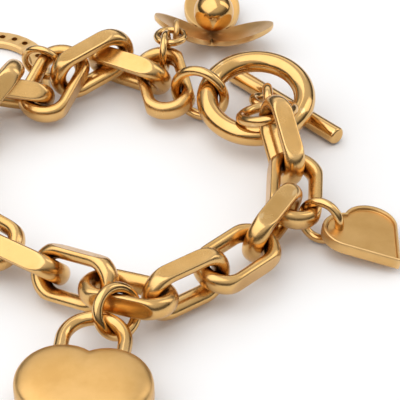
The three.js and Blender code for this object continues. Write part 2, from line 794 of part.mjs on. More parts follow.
// Main links in order round the wrist, from the toggle ring back to the toggle bar.
const CHAIN = [
  { name: 'chain_link_01', x: -5.8, y: 28.9, z: 5.4, heading: 90, pitch: 8, roll: -16 },
  { name: 'chain_link_02', x: -12.0, y: 31.3, z: 5, heading: -19, pitch: -5, roll: 124 },
  { name: 'chain_link_03', x: -18.8, y: 30.8, z: 6.8, heading: 20, pitch: 17, roll: 85 },
  { name: 'chain_link_04', x: -26.0, y: 25.6, z: 5.0, heading: 64, pitch: 26, roll: 14 },
  { name: 'chain_link_05', x: -33.8, y: 23.0, z: 4.7, heading: 7, pitch: -13, roll: -36 },
  { name: 'chain_link_06', x: -36.0, y: 18.4, z: 6.8, heading: 34, pitch: 27, roll: 139 },
  { name: 'chain_link_07', x: -41.6, y: 10.5, z: 5.2, heading: 62, pitch: 0, roll: 53 },
  { name: 'chain_link_08', x: -44.0, y: 0.8, z: 5.0, heading: 92, pitch: 0, roll: 160 },
  { name: 'chain_link_09', x: -41.5, y: -7.5, z: 5.0, heading: 118, pitch: 0, roll: 80 },
  { name: 'chain_link_10', x: -34.5, y: -15, z: 5.0, heading: -40, pitch: 0, roll: 10 },
  { name: 'chain_link_11', x: -28.4, y: -20.5, z: 5.0, heading: -30, pitch: 0, roll: 138 },
  { name: 'chain_link_12', x: -20.2, y: -26.5, z: 5.2, heading: -30, pitch: 7, roll: 56 },
  { name: 'chain_link_13', x: -12.2, y: -30.6, z: 6.2, heading: -6, pitch: 2, roll: -12 },
  { name: 'chain_link_14', x: -3.0, y: -26.8, z: 5.6, heading: 24, pitch: 0, roll: 92 },
  { name: 'chain_link_15', x: 6.9, y: -23.4, z: 4.4, heading: 42, pitch: 0, roll: 18 },
  { name: 'chain_link_16', x: 11.4, y: -11.8, z: 5.3, heading: 60, pitch: -2, roll: 106 },
  { name: 'chain_link_17', x: 15.3, y: -4.8, z: 5.2, heading: 78, pitch: 2, roll: 10 },
  { name: 'chain_link_18', x: 12.4, y: 3.4, z: 7.5, heading: -76, pitch: -16, roll: 92 },
];

const CLASP_POSE = { x: 9.6, y: 19.9, z: 6.4, heading: -8, roll: 13 };

// The places were set out for links of this length. When the links' length changes the chain spreads
// or draws in from the clasp, least at its two ends, and the charms keep beside the links that hold them.
const DRAWN_LENGTH = 16.4;
const SPREAD = (LINK_LENGTH - DRAWN_LENGTH) / (DRAWN_LENGTH - 2 * LINK_WIRE_THICK);
const END_SPREAD = 1 / 3;

function besideLink(name, pose) {
  const at = CHAIN.findIndex((row) => row.name === name);
  const middle = Math.sin(Math.PI * (at + 0.5) / CHAIN.length);
  const share = SPREAD * (END_SPREAD + (1 - END_SPREAD) * middle);
  const away = { x: CHAIN[at].x - CLASP_POSE.x, y: CHAIN[at].y - CLASP_POSE.y };
  return { ...pose, x: pose.x + share * away.x, y: pose.y + share * away.y };
}

const link = linkGeometry();
for (const row of CHAIN) {
  addOval(row.name, LINK_SIZE, link, LINK_WIDTH / 2, besideLink(row.name, row), metal(GOLD, 0.3));
}

const toggle = ringSize(TOGGLE_RING_ACROSS, TOGGLE_RING_TUBE);
addOval('toggle_ring', toggle, ovalWire(toggle, TOGGLE_RING_SIDES, TOGGLE_RING_ARC_STEPS), 0,
  CLASP_POSE, metal(GOLD, 0.2), true);
addBody('toggle_bar', barGeometry(), barSamples(),
  { x: 14.6, y: 24.6, z: 1.6, heading: -46, roll: 158 }, metal(GOLD, 0.2), true,
  ovalStations(EYE_SIZE, RING_ARC_STEPS).map((spot) => new THREE.Vector3(spot.x, spot.y + EYE_RISE, 0)));
addRing('jump_ring_bar', BAR_RING_ACROSS, RING_WIRE,
  { x: 11.0, y: 18.4, z: 5.0, heading: 103, pitch: -24, roll: 80 });
addRing('jump_ring_link', LARGE_RING_ACROSS, RING_WIRE,
  { x: 11.2, y: 11.9, z: 7.6, heading: 76, pitch: -18, roll: -14 });
addRing('jump_ring_toggle', LARGE_RING_ACROSS, RING_WIRE,
  { x: -0.4, y: 23.0, z: 6, heading: -22, pitch: 5, roll: 87 });

const PADLOCK_POSE = besideLink('chain_link_13', { x: -17.7, y: -53.6, z: 4.05, heading: -97, pitch: -7 });
addBody('padlock_body', padlockGeometry(),
  heartSamples(PADLOCK_WIDTH, PADLOCK_HEIGHT, PADLOCK_LOBE, PADLOCK_THICK, 0, [1, 0.5]),
  PADLOCK_POSE, metal(GOLD, 0.45), true);
addBody('padlock_shackle', geometryOf(solidOf(shackleWire(0))), shackleSamples(),
  PADLOCK_POSE, metal(GOLD, 0.25), true, shackleSamples().map((sample) => sample.at));
addRing('padlock_ring', PADLOCK_RING_ACROSS, RING_WIRE,
  besideLink('chain_link_13', { x: -11.8, y: -35.8, z: 6.4, heading: -10, pitch: -10, roll: 50 }));

addBody('heart_tag', tagGeometry(), tagSamples(),
  besideLink('chain_link_17', { x: 27.4, y: -13.4, z: 1.6, heading: -52, pitch: -4, roll: -9 }),
  metal(GOLD, 0.4), true,
  circle(TAG_HOLE_ALONG, TAG_HOLE_ACROSS, TAG_THICK / 2, TAG_HOLE / 2 + TAG_THICK / 2));
addRing('heart_tag_ring', THIN_RING_ACROSS, THIN_RING_WIRE,
  besideLink('chain_link_17', { x: 19.5, y: -7.6, z: 4, heading: -4, pitch: -5, roll: 62 }));

const FLOWER_POSE = besideLink('chain_link_01', { x: 2.0, y: 45.3, z: 0.9, heading: 0, pitch: -5, roll: -9 });
addBody('flower_petals', flowerGeometry(), petalSamples(), FLOWER_POSE, metal(GOLD, 0.35), true,
  flowerLoop());
const ball = new THREE.SphereGeometry(FLOWER_BALL / 2, FACES_ROUND, BALL_ROWS);
ball.translate(0, 0, PETAL_THICK + CLEARANCE + FLOWER_BALL / 2);
addBody('flower_ball', geometryOf(solidOf(ball)), ballSamples([[0, 0, FLOWER_BALL, FLOWER_BALL / 2]]),
  FLOWER_POSE, metal(GOLD, 0.1), true);
addRing('flower_ring_upper', FLOWER_RING_ACROSS, FLOWER_RING_WIRE,
  besideLink('chain_link_01', { x: -4.8, y: 35.3, z: 8.5, heading: 90 }));
addRing('flower_ring_lower', FLOWER_LINK_RING_ACROSS, FLOWER_RING_WIRE,
  besideLink('chain_link_01', { x: -5.3, y: 34.0, z: 6.9, heading: 85, roll: 90 }));

addBody('horseshoe_charm', shoeGeometry(), shoeSamples(),
  besideLink('chain_link_04', { x: -37.4, y: 36.2, z: SHOE_THICK / 2, heading: -86 }), metal(GOLD, 0.4), true,
  shoeEyeLoop());
addRing('horseshoe_ring', FLOWER_LINK_RING_ACROSS, FLOWER_RING_WIRE,
  besideLink('chain_link_04', { x: -27.9, y: 30.8, z: 5.6, heading: -20, pitch: 0, roll: 90 }));

settle(bodies);

for (const body of bodies) {
  const placed = body.geometry.clone().applyQuaternion(body.turned).translate(...body.place.toArray());
  const mesh = new THREE.Mesh(placed, body.material);
  mesh.name = body.name;
  part.add(mesh);
}

// The origin goes to the middle of the bottom of the whole bracelet.
const bounds = new THREE.Box3().setFromObject(part, true);
const middle = bounds.getCenter(new THREE.Vector3()).setZ(bounds.min.z);
for (const mesh of part.children) {
  mesh.geometry.translate(-middle.x, -middle.y, -middle.z);
}
part.userData.shift = middle.clone().negate().toArray();

export default part;
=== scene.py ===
"""The looks of a gold charm bracelet that lies in an open loop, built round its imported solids."""

import math

import bmesh
import bpy
import numpy as np
from bpy.props import FloatProperty, FloatVectorProperty, IntProperty, PointerProperty
from mathutils import Matrix, Vector


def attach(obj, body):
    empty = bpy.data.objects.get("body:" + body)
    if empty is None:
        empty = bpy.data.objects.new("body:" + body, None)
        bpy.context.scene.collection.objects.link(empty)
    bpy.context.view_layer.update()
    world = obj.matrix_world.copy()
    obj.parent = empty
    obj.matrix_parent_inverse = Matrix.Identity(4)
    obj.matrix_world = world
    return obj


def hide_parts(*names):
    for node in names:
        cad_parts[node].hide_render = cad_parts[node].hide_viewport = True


bl_info = {
    "name": "Charm Bracelet",
    "version": (1, 0, 0),
    "blender": (4, 5, 0),
    "location": "View3D > Sidebar > Bracelet",
    "description": "Builds a gold charm bracelet with a toggle clasp and four charms",
    "category": "Add Mesh",
}

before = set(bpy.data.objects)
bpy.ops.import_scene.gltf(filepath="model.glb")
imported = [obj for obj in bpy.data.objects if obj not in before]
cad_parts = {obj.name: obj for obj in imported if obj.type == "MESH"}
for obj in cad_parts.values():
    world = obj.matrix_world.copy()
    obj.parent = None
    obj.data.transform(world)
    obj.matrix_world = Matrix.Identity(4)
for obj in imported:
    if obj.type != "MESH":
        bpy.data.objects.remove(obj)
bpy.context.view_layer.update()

MM = 0.001
LINKS = [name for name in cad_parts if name.startswith("chain_link_")]
THIN_RINGS = ["heart_tag_ring", "flower_ring_upper", "flower_ring_lower", "horseshoe_ring"]
CLASP_RINGS = ["jump_ring_bar", "jump_ring_link", "jump_ring_toggle", "padlock_ring"]

# How finely each wire is made: faces round it, round a bend and along a straight side
LINK_SIDES = 56
LINK_BEND = 26
LINK_STRAIGHT = 12
RING_SIDES = 24
RING_BEND = 40
TOGGLE_SIDES = 48
TOGGLE_BEND = 80
EYE_BEND = 32
EYE_STRAIGHT = 6
BOW_SIDES = 32
BOW_BEND = 48
LOOP_SIDES = 20
LOOP_BEND = 32

# How finely the other forms are made
ROD_SIDES = 48
ROD_EDGE_STEPS = 8
HEART_LOBE_STEPS = 40
HEART_SIDE_STEPS = 14
HEART_ROWS = 16
HOLE_SIDES = 64
PETAL_ROWS = 20
BALL_ROWS = 32
BALL_SIDES = 64

# The solids' wires have flat sides. Their counts give back the round wires that they stand for.
SOLID_RING_SIDES = 6
SOLID_TOGGLE_SIDES = 12
SOLID_SHACKLE_SIDES = 10

# The flat part of a rod's end, as a share of the face within its rounded edge
ROD_END_SHARE = 0.6

# The padlock's rows crowd toward its rim by this power, and two more rows close its flat middle.
ROW_CROWDING = 0.55
MIDDLE_ROWS = (0.5, 0.25)

# The tag's layers, each a share of the outline at a share of the thickness: from the underside
# round the rim, over the raised border and down to the sunk face
TAG_LAYERS = [
    (0.94, -0.5),
    (0.965, -0.48),
    (0.985, -0.42),
    (1.0, -0.25),
    (1.0, 0.2),
    (0.995, 0.36),
    (0.98, 0.46),
    (0.96, 0.5),
    (0.925, 0.5),
    (0.905, 0.47),
    (0.892, 0.4),
    (0.885, 0.28),
    (0.875, 0.25),
    (0.8, 0.25),
]

# Places on the charms, in millimetres from each charm's own middle
TAG_HOLE_ALONG = -3.6
TAG_HOLE_ACROSS = -3.1
FLOWER_LOOP_OUT = -6.8
FLOWER_LOOP_SIDE = -8.6
BALL_GAP = 0.35

# A petal's length as a share of its reach, and how square its edge is
PETAL_LENGTH_SHARE = 0.93
PETAL_EDGE = 0.28
PETALS = 3
FIRST_PETAL = 90

# How each metal's shine varies, how deep its scratches are and how fine they are
FINISHES = {
    "polished_gold": {"spread": 0.04, "bump": 0.08, "grain": 2600.0},
    "link_gold": {"spread": 0.05, "bump": 0.12, "grain": 2200.0},
    "satin_gold": {"spread": 0.06, "bump": 0.3, "grain": 5200.0},
}

# The photograph's middle, in millimetres back from the middle of the toggle ring
TOGGLE_FROM_MIDDLE = (9.6, 19.9, 6.4)

SOFTBOXES = [
    {"name": "key", "spot": (-0.25, -0.1, 0.5), "size": (0.9, 0.9), "power": 6.6,
     "colour": (1.0, 0.985, 0.96)},
    {"name": "side", "spot": (0.45, 0.15, 0.3), "size": (0.2, 0.5), "power": 1.0,
     "colour": (1.0, 0.97, 0.93)},
    {"name": "back", "spot": (0.0, 0.5, 0.35), "size": (0.6, 0.2), "power": 0.5,
     "colour": (1.0, 0.99, 0.98)},
]

# The studio's walls, from below the horizon to straight up
SKY_LOW = (0.0, (0.05, 0.045, 0.04, 1))
SKY_HORIZON = (0.3, (0.14, 0.13, 0.125, 1))
SKY_WALL = (0.55, (0.74, 0.74, 0.74, 1))
SKY_TOP = (1.0, (0.95, 0.95, 0.95, 1))
SKY_STRENGTH = 0.9

FLOOR_HALF = 2
FLOOR_DROP = 0.1
FLOOR_SHADE = 0.985
BLACK = (0, 0, 0, 1)
WHITE = (1, 1, 1, 1)


# Where each solid lies


class Lie:
    """The middle of a solid, the three directions that it spreads along, and its corners."""

    def __init__(self, middle, along, across, normal, points):
        self.middle = middle
        self.along = along
        self.across = across
        self.normal = normal
        self.points = points

    def spread(self, direction):
        """How far the solid reaches either way along a direction, from its middle."""
        reach = (self.points - self.middle) @ direction
        return reach.min(), reach.max()

    def size(self, direction):
        low, high = self.spread(direction)
        return high - low

    def halfway(self, direction):
        """The step from the middle to halfway between both ends along a direction."""
        return direction * sum(self.spread(direction)) / 2

    def farthest(self):
        """The corner that is farthest from the middle."""
        return self.points[np.argmax(np.linalg.norm(self.points - self.middle, axis=1))]

    def matrix(self):
        return placing(self.middle, self.along, self.across, self.normal)


def placing(middle, along, across, normal):
    """The matrix that puts a piece made round the origin where it lies."""
    turned = Matrix([along, across, normal]).transposed().to_4x4()
    return Matrix.Translation(Vector(middle)) @ turned


def unit(way):
    return way / np.linalg.norm(way)


def triangles_of(node):
    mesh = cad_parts[node].data
    mesh.calc_loop_triangles()
    points = np.array([vertex.co for vertex in mesh.vertices])
    corners = np.array([triangle.vertices for triangle in mesh.loop_triangles])
    return points, corners


def lie_of(node):
    """Finds how a solid lies from the spread of its surface: widest along, thinnest on its normal."""
    points, corners = triangles_of(node)
    a, b, c = points[corners[:, 0]], points[corners[:, 1]], points[corners[:, 2]]
    area = np.linalg.norm(np.cross(b - a, c - a), axis=1) / 2
    centres = (a + b + c) / 3
    middle = (centres * area[:, None]).sum(0) / area.sum()
    moment = np.zeros((3, 3))
    for corner, share in ((a, 1), (b, 1), (c, 1), (centres, 9)):
        away = corner - middle
        moment += share * (away * area[:, None]).T @ away / 12
    _, ways = np.linalg.eigh(moment)
    along, normal = ways[:, 2], ways[:, 0]
    normal = normal if normal[2] >= 0 else -normal
    return Lie(middle, along, np.cross(normal, along), normal, points)


def heart_lie(node):
    """A heart's own lie: along toward its point, with its middle halfway up its height."""
    lie = lie_of(node)
    toward = lie.farthest() - lie.middle
    along = unit(toward - lie.normal * (toward @ lie.normal))
    across = np.cross(lie.normal, along)
    shift = lie.halfway(along) + lie.halfway(lie.normal) + lie.halfway(across)
    return Lie(lie.middle + shift, along, across, lie.normal, lie.points)


def flower_placing(petals, ball, radius, sizes):
    """Finds the flower's plane from its three petal tips, and its hub under the ball."""
    normal = petals.normal
    for _ in range(3):
        flat = petals.points - ball.middle
        flat = flat - np.outer(flat @ normal, normal)
        first = unit(flat[np.argmax(flat[:, 1])])
        tips = []
        for turn in range(PETALS):
            turned = Matrix.Rotation(math.radians(360 / PETALS * turn), 3, Vector(normal))
            tips.append(petals.points[np.argmax(flat @ np.array(turned @ Vector(first)))])
        normal = unit(np.cross(tips[1] - tips[0], tips[2] - tips[0]))
    hub = ball.middle - normal * (radius + (sizes.petal_thick + BALL_GAP) * MM)
    up = unit(first - normal * (first @ normal))
    return placing(hub, np.cross(up, normal), up, normal)


def round_wire(measured, sides):
    """The thickness of the round wire that a solid's wire with flat sides stands for."""
    return measured / math.cos(math.pi / sides)


# Meshes


def mesh_of(name, points, faces):
    mesh = bpy.data.meshes.new(name)
    mesh.from_pydata([tuple(point) for point in points], [], faces)
    mesh.update()
    return mesh


def merge_close(mesh):
    """Joins the corners that fall on one spot."""
    work = bmesh.new()
    work.from_mesh(mesh)
    bmesh.ops.remove_doubles(work, verts=work.verts, dist=1e-8)
    bmesh.ops.recalc_face_normals(work, faces=work.faces)
    work.to_mesh(mesh)
    work.free()
    return mesh


def tube(name, stations, section, closed):
    """Sweeps a section along stations in the XY plane, each an x, a y and its outward angle."""
    points = []
    for x, y, angle in stations:
        for out, up in section:
            points.append((x + out * math.cos(angle), y + out * math.sin(angle), up))
    sides = len(section)
    count = len(stations)
    faces = []
    for ring in range(count if closed else count - 1):
        here = ring * sides
        after = (ring + 1) % count * sides
        for side in range(sides):
            beside = (side + 1) % sides
            faces.append((here + side, after + side, after + beside, here + beside))
    if not closed:
        last = (count - 1) * sides
        faces.append(tuple(range(sides)))
        faces.append(tuple(last + side for side in reversed(range(sides))))
    return merge_close(mesh_of(name, points, faces))


def round_section(thick, wide, sides):
    section = []
    for side in range(sides):
        angle = 2 * math.pi * (side + 0.5) / sides
        section.append((math.cos(angle) * thick / 2, math.sin(angle) * wide / 2))
    return section


def oval_stations(length, width, thick, steps, straights):
    """Stations of a closed oval. Each straight side has its own steps."""
    bend = (width - thick) / 2
    straight = length / 2 - thick / 2 - bend
    stations = []
    for end in (1, -1):
        start = 0 if end > 0 else math.pi
        for step in range(steps + 1):
            angle = start - math.pi / 2 + math.pi * step / steps
            x = end * straight + bend * math.cos(angle)
            stations.append((x, bend * math.sin(angle), angle))
        for step in range(1, straights if straight > 1e-9 else 1):
            run = end * straight * (1 - 2 * step / straights)
            stations.append((run, end * bend, start + math.pi / 2))
    return stations


def u_stations(radius, arms, steps):
    """Stations of a U that opens toward +X."""
    stations = [(arms, radius, math.pi / 2)]
    for step in range(steps + 1):
        angle = math.pi / 2 + math.pi * step / steps
        stations.append((radius * math.cos(angle), radius * math.sin(angle), angle))
    stations.append((arms, -radius, 3 * math.pi / 2))
    return stations


def hoop(name, across, wire, steps, sides):
    """A round wire ring in the XY plane."""
    stations = oval_stations(across, across, wire, steps, 1)
    return tube(name, stations, round_section(wire, wire, sides), True)


def filed_link(name, lie, sizes):
    """A link whose two long sides are filed flat, with a narrow worn border round each flat."""
    width = lie.size(lie.across)
    thick = sizes.wire_thick * MM
    bent = width + 2 * sizes.filed * MM
    stations = oval_stations(lie.size(lie.along), bent, thick, LINK_BEND, LINK_STRAIGHT)
    mesh = tube(name, stations, round_section(thick, lie.size(lie.normal), LINK_SIDES), True)
    half = width / 2
    soft = sizes.flat_border * MM
    for vertex in mesh.vertices:
        side = abs(vertex.co.y)
        if side > half - 8 * soft:
            kept = side - soft * math.log1p(math.exp((side - half) / soft))
            vertex.co.y = math.copysign(kept, vertex.co.y)
    mesh.update()
    return mesh


def heart_outline(width, height, lobe_share):
    """A heart round its middle with its point toward +X: two round lobes and straight sides."""
    lobe = width * lobe_share
    apart = width / 2 - lobe
    top = -height / 2 + lobe
    point = height / 2
    lean = math.atan2(-apart, point - top) + math.acos(lobe / math.hypot(point - top, apart))
    cleft = math.pi + math.asin(apart / lobe)
    upper = []
    for step in range(HEART_LOBE_STEPS + 1):
        angle = lean + (cleft - lean) * step / HEART_LOBE_STEPS
        upper.append((top + lobe * math.cos(angle), apart + lobe * math.sin(angle)))
    side = []
    for step in range(1, HEART_SIDE_STEPS):
        share = step / HEART_SIDE_STEPS
        side.append((point + (upper[0][0] - point) * share, upper[0][1] * share))
    half = side + upper
    mirrored = [(x, -y) for x, y in reversed(half[:-1])]
    return [(point, 0.0)] + half + mirrored


def puffed_layers(thick, power):
    """The layers of a puffed form: each a share of the outline, and its height."""
    layers = []
    for step in range(1 - HEART_ROWS, HEART_ROWS):
        level = math.sin(math.pi / 2 * step / HEART_ROWS)
        up = math.copysign(abs(level) ** ROW_CROWDING, level) if step else 0.0
        layers.append((max(0.0, 1 - abs(up) ** power) ** (1 / power), up * thick / 2))
    for out in MIDDLE_ROWS:
        top = (1 - out**power) ** (1 / power)
        layers.insert(0, (out, -top * thick / 2))
        layers.append((out, top * thick / 2))
    return sorted(layers, key=lambda layer: layer[1])


def layered(name, outline, layers):
    """Stacks one outline, drawn in to a share of its size at each height, and closes both ends."""
    points = [(0, 0, layers[0][1])]
    for out, up in layers:
        points.extend((x * out, y * out, up) for x, y in outline)
    points.append((0, 0, layers[-1][1]))
    count = len(outline)
    last = len(points) - 1
    faces = []
    for spot in range(count):
        beside = (spot + 1) % count
        faces.append((0, 1 + beside, 1 + spot))
        for layer in range(len(layers) - 1):
            low = 1 + layer * count
            high = low + count
            faces.append((low + spot, low + beside, high + beside, high + spot))
        faces.append((last, last - count + spot, last - count + beside))
    return mesh_of(name, points, faces)


def lathe(name, profile, sides):
    """Turns a profile of distance along X and radius round the X axis."""
    points = [(profile[0][0], 0, 0)]
    for along, radius in profile:
        for side in range(sides):
            angle = 2 * math.pi * side / sides
            points.append((along, radius * math.cos(angle), radius * math.sin(angle)))
    points.append((profile[-1][0], 0, 0))
    last = len(points) - 1
    faces = []
    for side in range(sides):
        beside = (side + 1) % sides
        faces.append((0, 1 + side, 1 + beside))
        for ring in range(len(profile) - 1):
            low = 1 + ring * sides
            high = low + sides
            faces.append((low + side, high + side, high + beside, low + beside))
        faces.append((last, last - sides + beside, last - sides + side))
    return mesh_of(name, points, faces)


def rod_profile(half, thick, edge):
    """A rod's profile with a rounded edge at each end."""
    profile = [(-half, (thick / 2 - edge) * ROD_END_SHARE)]
    for step in range(ROD_EDGE_STEPS + 1):
        angle = math.pi / 2 * step / ROD_EDGE_STEPS
        along = -half + edge * (1 - math.cos(angle))
        profile.append((along, thick / 2 - edge + edge * math.sin(angle)))
    return profile + [(-along, radius) for along, radius in reversed(profile)]


def petal(heading, sizes):
    """A thin cupped oval with rounded edges that reaches out from the hub."""
    reach = sizes.petal_reach
    wide = sizes.petal_wide
    thick = sizes.petal_thick
    steps = sizes.petal_steps
    long = reach * PETAL_LENGTH_SHARE
    points = []
    for row in range(PETAL_ROWS + 1):
        tilt = math.pi * row / PETAL_ROWS
        level = math.cos(tilt)
        lift = math.copysign(abs(level) ** PETAL_EDGE, level) * thick / 2
        for step in range(steps):
            angle = 2 * math.pi * step / steps
            x = reach - long / 2 + math.sin(tilt) * math.cos(angle) * long / 2
            y = math.sin(tilt) * math.sin(angle) * wide / 2
            cup = sizes.petal_cup * (x * x + y * y)
            points.append((x * MM, y * MM, (thick / 2 + lift + cup) * MM))
    faces = []
    for row in range(PETAL_ROWS):
        low = row * steps
        high = low + steps
        for step in range(steps):
            beside = (step + 1) % steps
            faces.append((low + step, high + step, high + beside, low + beside))
    mesh = merge_close(mesh_of("petal", points, faces))
    mesh.transform(Matrix.Rotation(math.radians(heading), 4, "Z"))
    return mesh


def flower_loop(sizes):
    """The wire loop that stands on the petals' edge."""
    loop = hoop("flower_loop", sizes.loop_across * MM, sizes.loop_wire * MM, LOOP_BEND, LOOP_SIDES)
    loop.transform(Matrix.Rotation(math.radians(90), 4, "X"))
    loop.transform(Matrix.Rotation(math.radians(90), 4, "Z"))
    rise = sizes.petal_cup * (FLOWER_LOOP_OUT**2 + FLOWER_LOOP_SIDE**2) + sizes.petal_thick / 2
    spot = Vector((FLOWER_LOOP_OUT, FLOWER_LOOP_SIDE, rise)) * MM
    loop.transform(Matrix.Translation(spot))
    return loop


def round_ball(radius):
    """A ball with a pin-sized flat at each pole."""
    profile = [(-radius, radius * 0.001)]
    for row in range(1, BALL_ROWS):
        angle = math.pi * row / BALL_ROWS
        profile.append((-radius * math.cos(angle), radius * math.sin(angle)))
    profile.append((radius, radius * 0.001))
    return lathe("flower_ball", profile, BALL_SIDES)


def joined_mesh(name, meshes, operation="UNION"):
    """Joins closed meshes to the first one, or cuts them from it, and keeps one mesh."""
    made = bpy.data.objects.new(name, meshes[0])
    bpy.context.scene.collection.objects.link(made)
    helpers = []
    for mesh in meshes[1:]:
        helper = bpy.data.objects.new(name + "_helper", mesh)
        bpy.context.scene.collection.objects.link(helper)
        cut = made.modifiers.new("join", "BOOLEAN")
        cut.operation = operation
        cut.solver = "EXACT"
        cut.object = helper
        helpers.append(helper)
    bpy.context.view_layer.update()
    graph = bpy.context.evaluated_depsgraph_get()
    result = bpy.data.meshes.new_from_object(made.evaluated_get(graph))
    for used in [made, *helpers]:
        bpy.data.objects.remove(used)
    if len(result.polygons) == 0:
        raise RuntimeError(f"{name} came out empty")
    return result


def place(node, mesh, where, metal, sharp=40):
    """Puts a mesh where its solid lies and lets it stand for the solid, in the named metal."""
    mesh.transform(where)
    mesh.shade_smooth()
    mesh.set_sharp_from_angle(angle=math.radians(sharp))
    mesh.materials.clear()
    mesh.materials.append(gold(metal))
    made = bpy.data.objects.new(node + "_look", mesh)
    bpy.context.scene.collection.objects.link(made)
    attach(made, "root")
    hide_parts(node)


# Metals


class Wiring:
    """Adds nodes to a material and wires them, in place of those that it had before its shader."""

    def __init__(self, material):
        material.use_nodes = True
        self.tree = material.node_tree
        self.shader = self.tree.nodes["Principled BSDF"]
        for node in list(self.tree.nodes):
            if node.bl_idname not in ("ShaderNodeBsdfPrincipled", "ShaderNodeOutputMaterial"):
                self.tree.nodes.remove(node)

    def add(self, kind, **values):
        """Adds a node. Values go to its sockets of those names, or else to its own settings."""
        node = self.tree.nodes.new(kind)
        for key, value in values.items():
            if key in node.inputs:
                node.inputs[key].default_value = value
            else:
                setattr(node, key, value)
        return node

    def wire(self, start, end):
        self.tree.links.new(start, end)

    def ramp(self, source, low, high):
        node = self.add("ShaderNodeValToRGB")
        for element, (position, colour) in zip(node.color_ramp.elements, (low, high), strict=True):
            element.position = position
            element.color = colour
        self.wire(source, node.inputs["Fac"])
        return node.outputs["Color"]

    def noise(self, place_in, **values):
        node = self.add("ShaderNodeTexNoise", **values)
        self.wire(place_in, node.inputs["Vector"])
        return node.outputs["Fac"]

    def mix(self, factor, colour, other):
        """Blends a wired colour toward another one by a factor."""
        node = self.add("ShaderNodeMix", data_type="RGBA")
        self.wire(factor, node.inputs["Factor"])
        self.wire(colour, node.inputs["A"])
        node.inputs["B"].default_value = (*other, 1)
        return node.outputs["Result"]


def gold(name):
    """Plated gold: painted shade in creases, pale worn edges, and fine scratches that break the
    shine.
    """
    colours = bpy.context.scene.bracelet_colours
    finish = FINISHES[name]
    roughness = getattr(colours, name)
    material = bpy.data.materials.get(name) or bpy.data.materials.new(name)
    wiring = Wiring(material)
    shader = wiring.shader
    shader.inputs["Metallic"].default_value = 1.0
    spot = wiring.add("ShaderNodeTexCoord").outputs["Object"]

    tarnish = wiring.noise(spot, Scale=160.0, Detail=4.0, Roughness=0.55)
    patches = wiring.ramp(tarnish, (0.36, (*colours.deep, 1)), (0.62, (*colours.gold, 1)))
    worn = wiring.add("ShaderNodeNewGeometry").outputs["Pointiness"]
    edges = wiring.ramp(worn, (0.5, BLACK), (0.6, WHITE))
    colour = wiring.mix(edges, patches, colours.worn)
    # Painted shade: ambient occlusion blends the colour toward a dark brown in creases and recesses,
    # where shade falls.
    creases = wiring.add("ShaderNodeAmbientOcclusion", Distance=0.0009, samples=8).outputs["AO"]
    depth = wiring.ramp(creases, (0.1, WHITE), (0.7, BLACK))
    wiring.wire(wiring.mix(depth, colour, colours.crease_shade), shader.inputs["Base Color"])

    dull = wiring.add("ShaderNodeMapRange")
    dull.inputs["From Min"].default_value = 0.3
    dull.inputs["From Max"].default_value = 0.7
    dull.inputs["To Min"].default_value = roughness - finish["spread"]
    dull.inputs["To Max"].default_value = roughness + finish["spread"]
    smears = wiring.noise(spot, Scale=420.0, Detail=6.0, Roughness=0.6)
    wiring.wire(smears, dull.inputs["Value"])
    wiring.wire(dull.outputs["Result"], shader.inputs["Roughness"])

    scratches = wiring.noise(
        spot, Scale=finish["grain"], Detail=3.0, Roughness=0.7, Distortion=0.3
    )
    relief = wiring.add("ShaderNodeBump", Strength=finish["bump"], Distance=0.00005)
    wiring.wire(scratches, relief.inputs["Height"])
    wiring.wire(relief.outputs["Normal"], shader.inputs["Normal"])
    return material


# Settings


def millimetres(name, description, default, low, high):
    return FloatProperty(
        name=name, description=f"{description}, in millimetres", default=default, min=low, max=high
    )


def metal_colour(name, description, default):
    return FloatVectorProperty(
        name=name, description=description, subtype="COLOR", size=3, default=default
    )


def shine(name, description, default):
    return FloatProperty(
        name=name, description=description, subtype="FACTOR", default=default, min=0.02, max=0.8
    )


class BraceletSizes(bpy.types.PropertyGroup):
    wire_thick: millimetres("Link wire", "Thickness of a link's wire", 2.7, 1.5, 3.2)
    filed: millimetres("Filed depth", "How much is filed off a link's long side", 0.7, 0.1, 1.0)
    flat_border: millimetres("Flat border", "Softness of a filed flat's border", 0.05, 0.01, 0.2)
    bar_edge: millimetres("Bar edge", "Rounding of the toggle bar's ends", 0.55, 0.1, 1.2)
    eye_wire: millimetres("Eye wire", "Thickness of the toggle bar's eye", 1.6, 0.8, 2.4)
    eye_long: millimetres("Eye length", "Length of the toggle bar's eye", 8.6, 5.0, 12.0)
    padlock_lobe: FloatProperty(
        name="Padlock lobe",
        description="Radius of the padlock's lobes as a share of its width",
        default=0.335,
        min=0.26,
        max=0.4,
    )
    padlock_puff: FloatProperty(
        name="Padlock puff",
        description="Squareness of the padlock's puffed edge",
        default=4.6,
        min=2.0,
        max=9.0,
    )
    socket_gap: millimetres("Socket gap", "Gap round the padlock's shackle", 0.22, 0.05, 0.5)
    tag_lobe: FloatProperty(
        name="Tag lobe",
        description="Radius of the heart tag's lobes as a share of its width",
        default=0.33,
        min=0.26,
        max=0.4,
    )
    tag_hole: millimetres("Tag hole", "Diameter of the heart tag's hole", 4.5, 2.0, 5.0)
    petal_reach: millimetres("Petal reach", "From the hub to a petal's tip", 11.6, 6.0, 16.0)
    petal_wide: millimetres("Petal width", "Width of a petal", 10.2, 4.0, 14.0)
    petal_thick: millimetres("Petal thickness", "Thickness of a petal", 1.5, 0.5, 3.0)
    petal_cup: FloatProperty(
        name="Petal cup",
        description="Rise of a petal for each square millimetre out from the hub",
        default=0.036,
        min=0.0,
        max=0.08,
        precision=3,
    )
    petal_steps: IntProperty(
        name="Petal detail", description="Faces round a petal", default=48, min=16, max=96
    )
    hub_across: millimetres("Hub", "Diameter of the disc that joins the petals", 6.0, 3.0, 9.0)
    loop_across: millimetres("Loop", "Diameter of the flower's loop", 4.4, 3.0, 7.0)
    loop_wire: millimetres("Loop wire", "Thickness of the flower's loop", 1.0, 0.6, 1.8)
    worn_edge: millimetres("Worn edge", "Rounding of the horseshoe's edges", 0.12, 0.02, 0.4)


